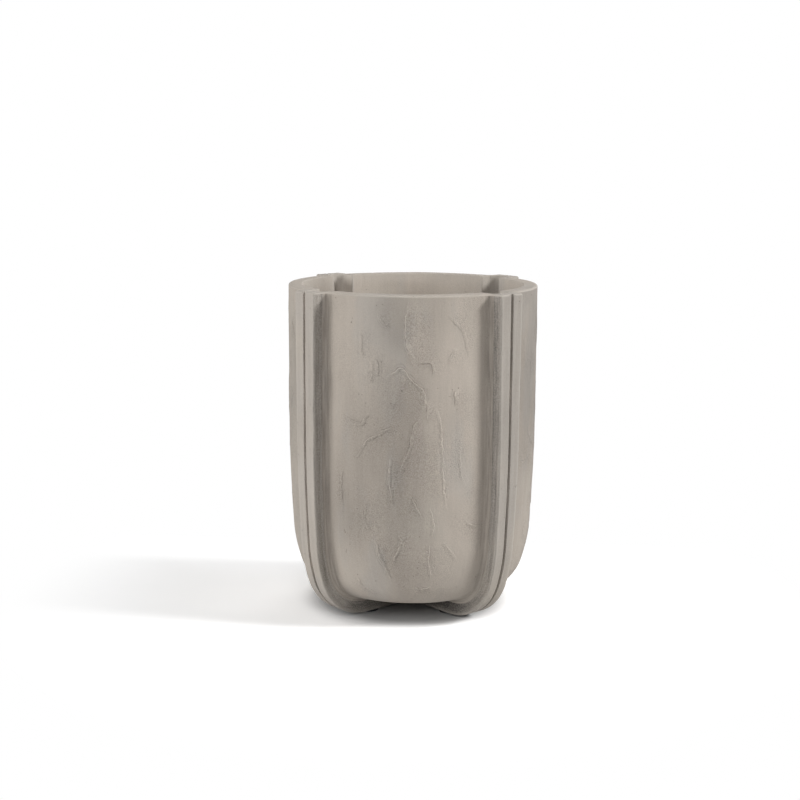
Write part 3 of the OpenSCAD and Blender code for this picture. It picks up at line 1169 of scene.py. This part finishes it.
def concrete(name, looks):
    # skim-coated or rubbed concrete: the ribs have no flakes, and the two flake values are 0 there
    material, sheet = newFinish(name)
    places = sheet.node("ShaderNodeTexCoord", output="Object")
    # the tone value holds real tone differences and painted light and shade
    wear, sandy, toneAndPaintedLight, streaksAndShade = pointValues(sheet, "wear", "sandy", "tone", "streaksAndShade")
    flakeGap, flakeEdge = pointValues(sheet, "flakeGap", "flakeEdge")
    flankLift, flankRun = pointValues(sheet, "flankLift", "flankRun")
    worn = noise(sheet, places, looks["wornScale"], 2).between(0.36, 0.6)

    # broad patches of tone
    upward = stretch(sheet, places, looks["uprightStretch"])
    dried = noise(sheet, upward, looks["coolScale"], 4, 0.6, 0.4).between(0.35, 0.52)
    tone = blendColours(sheet, dried, looks["cool"], looks["tone"])
    warmer = noise(sheet, places, looks["warmScale"]).between(0.48, 0.7)
    tone = blendColours(sheet, warmer, tone, looks["warm"])
    cloud = noise(sheet, upward, looks["cloudScale"], 5, 0.6, 0.6)

    # streaks that follow the ribs' curve, sand and its grains
    differs = sheet.node("ShaderNodeVectorMath", {"operation": "DOT_PRODUCT"}, {
        0: places, 1: looks["streaksDiffer"],
    }, output="Value")
    follow = sheet.node("ShaderNodeCombineXYZ", {}, {"X": flankLift, "Y": flankRun, "Z": differs})
    streak = noise(sheet, stretch(sheet, follow, looks["streakStretch"]), 1.0, 3, 0.6)
    run = noise(sheet, stretch(sheet, follow, looks["flankStretch"]), 1.0, 4, 0.65)
    grain = noise(sheet, places, looks["grainScale"], 3, 0.6)
    fine = noise(sheet, places, looks["fineScale"], 1)
    bright = 1 + (cloud - 0.5) * (2 * looks["patches"]) + (streak - 0.5) * (2 * looks["streaks"])
    bright = bright + (grain - 0.5) * (0.2 + sandy * 0.8) * looks["speckle"]
    # streaks with painted shade on and beside the flanks, and the tone, which also holds painted light and
    # shade
    bright = bright + streaksAndShade * ((run - 0.5) * looks["flankStreaks"] - looks["flankPaintedShade"]) + toneAndPaintedLight

    # the edges of flakes: a painted highlight on the lip just behind the edge and painted shade at the foot
    # before it
    lip = 1 - abs(flakeGap - 0.5).between(0.1, 1.0)
    foot = 1 - abs(flakeGap + 0.8).between(0.1, 1.1)
    line = lip * looks["lipPaintedHighlight"] - foot * looks["footPaintedShade"]
    bright = bright + flakeEdge * (0.35 + worn * 0.65) * line

    # air holes, in some areas only, painted darker as painted shade inside them
    pits = sheet.node("ShaderNodeTexVoronoi", {"feature": "F1"}, {
        "Vector": places, "Scale": looks["pitScale"],
    })
    rare = noise(sheet, places, looks["pitAreas"], 2).between(0.60, 0.68)
    pit = (1 - pits.between(0.10, 0.22)) * rare
    bright = bright - pit * looks["pitPaintedShade"]
    colour = shade(sheet, tone, bright)
    colour = blendColours(sheet, wear * (0.15 + cloud * 0.4), colour, looks["light"])

    height = (grain - 0.5) * (0.1 + sandy * 1.3) + (fine - 0.5) * (0.1 + sandy * 0.5)
    height = height + flakeGap.between(-0.6, 0.5) * flakeEdge * 1.2
    height = height + (streak - 0.5) * 0.25 + (run - 0.5) * streaksAndShade * 0.8 - pit * 0.9
    rough = looks["roughness"] + (cloud - 0.5) * 0.08 + (grain - 0.5) * 0.06
    finishSurface(sheet, colour, rough, height, looks["bump"])
    return material


rawLooks = {
    "tone": linear(150, 143, 133),
    "dark": linear(128, 121, 112),
    "speckle": 0.25,
    "holePaintedShade": 0.45,
    "roughness": 0.92,
    "bump": 0.0006,
    "cloudScale": 18,
    "grainScale": 480,
    "holeScale": 120,
    "holeAreas": 40,
}


def rawConcrete(name, looks):
    # unfinished concrete, as it left the form: air holes, with painted shade in them, and sand
    material, sheet = newFinish(name)
    places = sheet.node("ShaderNodeTexCoord", output="Object")
    cloud = noise(sheet, places, looks["cloudScale"], 5, 0.6, 0.5)
    grain = noise(sheet, places, looks["grainScale"], 3, 0.6)
    holes = sheet.node("ShaderNodeTexVoronoi", {"feature": "F1"}, {
        "Vector": places, "Scale": looks["holeScale"],
    })
    areas = noise(sheet, places, looks["holeAreas"], 2).between(0.5, 0.6)
    hole = (1 - holes.between(0.12, 0.2)) * areas
    colour = blendColours(sheet, cloud.between(0.3, 0.7), looks["dark"], looks["tone"])
    bright = 1 + (grain - 0.5) * looks["speckle"] - hole * looks["holePaintedShade"]
    colour = shade(sheet, colour, bright)
    finishSurface(sheet, colour, looks["roughness"], (grain - 0.5) * 0.8 - hole, looks["bump"])
    return material


rubberLooks = {
    "tone": grey(0.012),
    "dust": (0.05, 0.048, 0.045, 1),
    "dusty": 0.5,           # share of the dust's colour where it lies thickest
    "roughness": 0.75,
    "bump": 0.0002,
    "grainScale": 900,
    "dustScale": 60,
}


def rubber(name, looks):
    material, sheet = newFinish(name)
    places = sheet.node("ShaderNodeTexCoord", output="Object")
    grain = noise(sheet, places, looks["grainScale"], 2)
    dust = noise(sheet, places, looks["dustScale"], 4, 0.6)
    share = dust.between(0.45, 0.8) * looks["dusty"]
    colour = blendColours(sheet, share, looks["tone"], looks["dust"])
    rough = looks["roughness"] + (dust - 0.5) * 0.2
    finishSurface(sheet, colour, rough, grain, looks["bump"], strength=0.6, specular=0.5)
    return material


skimFinish = concrete("skimCoat", skimLooks)
ribFinish = concrete("rubbedRib", ribLooks)
rawFinish = rawConcrete("rawConcrete", rawLooks)
rubberFinish = rubber("padRubber", rubberLooks)
print("finishes made")

shell = buildShell()
print("shell laid out:", shell["grid"].shape)

# the front's plates, and on the other panels the same turned over: across, up
panels = [("front", 1, 1), ("right", 1, -1), ("back", -1, 1), ("left", -1, -1)]
for number, (panel, acrossWay, upWay) in enumerate(panels):
    share = 1 if panel == "front" else trowel["otherRise"]
    marks = turnedMarks(trowel["frontMarks"], acrossWay, upWay, share)
    coat = {
        "marks": marks + wanderingMarks(smallMarks, seeds["marks"] + number, marks),
        "sand": turnedPatches(trowel["frontSand"], acrossWay, upWay),
        "tones": turnedPatches(trowel["frontTones"], acrossWay, upWay),
    }
    piece = panelPiece(shell, number, "panel_" + panel, coat, skimFinish)
    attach(piece, "root")
    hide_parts("wall_" + panel)
for number, corner in enumerate(ribs["names"]):
    piece = ribPiece(shell, number, "grooved_rib_" + corner, ribFinish)
    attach(piece, "root")
    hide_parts("rib_" + corner)
print("panels and ribs made")

for name in ("base_plate", "foot_hub"):
    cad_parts[name].data.materials.clear()
    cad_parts[name].data.materials.append(rawFinish)
for corner in ribs["names"]:
    piece = padPiece("moulded_pad_" + corner, *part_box("pad_" + corner), rubberFinish)
    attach(piece, "root")
    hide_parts("pad_" + corner)
print("pads made")

studio = {
    "floorColour": 0.67,
    "floorSeen": 1.60,          # how bright the camera sees the floor
    "paintedShadowSeen": 0.40,          # painted shadow: how bright the camera sees the floor right under the vessel
    "middle": (-0.006, 0.0, 0.0),
    "under": (0.110, 0.175),    # from the middle, where the one turns into the other
    "fade": (0.32, 0.64),       # from the middle, where the floor runs into white
    "behind": (0.04, 0.34),     # the same behind the axis
    "floorReach": 14.0,
    "floorCells": 8,
    "world": 0.10,
    # power, degrees round from the front to the right, degrees up, degrees across
    "lamps": {
        "key": (2.80, 85, 30, 15),
        "side": (1.95, -70, 17, 30),
        "fill": (0.90, 0, 30, 30),
        "back": (0.50, 165, 25, 30),
    },
}


def seenRays(sheet):
    # 1 for what the camera sees, also in a gloss or through glass
    camera, glossy, through = (
        sheet.node("ShaderNodeLightPath", output=ray)
        for ray in ("Is Camera Ray", "Is Glossy Ray", "Is Transmission Ray")
    )
    return camera.orMore(glossy).orMore(through)


def makeFloor(values):
    line = np.linspace(-values["floorReach"], values["floorReach"], values["floorCells"] + 1)
    row = len(line)
    corners = [(x, y, 0.0) for y in line for x in line]
    faces = [
        (first, first + 1, first + row + 1, first + row)
        for first in range(row * (row - 1)) if (first + 1) % row
    ]
    mesh = bpy.data.meshes.new("floor")
    mesh.from_pydata(corners, [], faces)
    material, sheet = newFinish("floorPaper")
    places = sheet.node("ShaderNodeTexCoord", output="Object")
    distance = sheet.node("ShaderNodeVectorMath", {"operation": "DISTANCE"}, {
        0: places, 1: values["middle"],
    }, output="Value")
    behind = sheet.node("ShaderNodeSeparateXYZ", {}, {0: places}, output="Y").between(*values["behind"])
    away = distance.between(*values["fade"]).orMore(behind)
    # the floor as the camera sees it is painted darker under the vessel, as a painted shadow
    under = distance.between(*values["under"])
    shown = blendColours(sheet, under, grey(values["paintedShadowSeen"]), grey(values["floorSeen"]))
    near = sheet.node("ShaderNodeBsdfDiffuse", {}, {"Color": shown})
    white = sheet.node("ShaderNodeEmission", {}, {"Color": grey(1), "Strength": 1.0})
    seen = sheet.node("ShaderNodeMixShader", {}, {0: away, 1: near, 2: white})
    plain = sheet.node("ShaderNodeBsdfDiffuse", {}, {"Color": grey(values["floorColour"])})
    shader = sheet.node("ShaderNodeMixShader", {}, {0: seenRays(sheet), 1: plain, 2: seen})
    sheet.node("ShaderNodeOutputMaterial", {}, {"Surface": shader})
    mesh.materials.append(material)
    floor = bpy.data.objects.new("floor", mesh)
    scene.collection.objects.link(floor)


def makeWorld(values):
    world = bpy.data.worlds.new("studio")
    world.use_nodes = True
    world.node_tree.nodes.clear()
    sheet = Wire(world.node_tree)
    strength = seenRays(sheet) * (1 - values["world"]) + values["world"]
    light = sheet.node("ShaderNodeBackground", {}, {"Color": grey(1), "Strength": strength})
    sheet.node("ShaderNodeOutputWorld", {}, {"Surface": light})
    scene.world = world


def makeLamp(name, power, around, up, across):
    lamp = bpy.data.lights.new(name, "SUN")
    lamp.energy = power
    lamp.angle = math.radians(across)
    made = bpy.data.objects.new(name, lamp)
    scene.collection.objects.link(made)
    around, up = math.radians(around), math.radians(up)
    toLight = Vector((
        math.sin(around) * math.cos(up), -math.cos(around) * math.cos(up), math.sin(up),
    ))
    made.rotation_euler = toLight.to_track_quat("Z", "Y").to_euler()


makeFloor(studio)
makeWorld(studio)
for name, values in studio["lamps"].items():
    makeLamp(name, *values)
print("floor and light made")
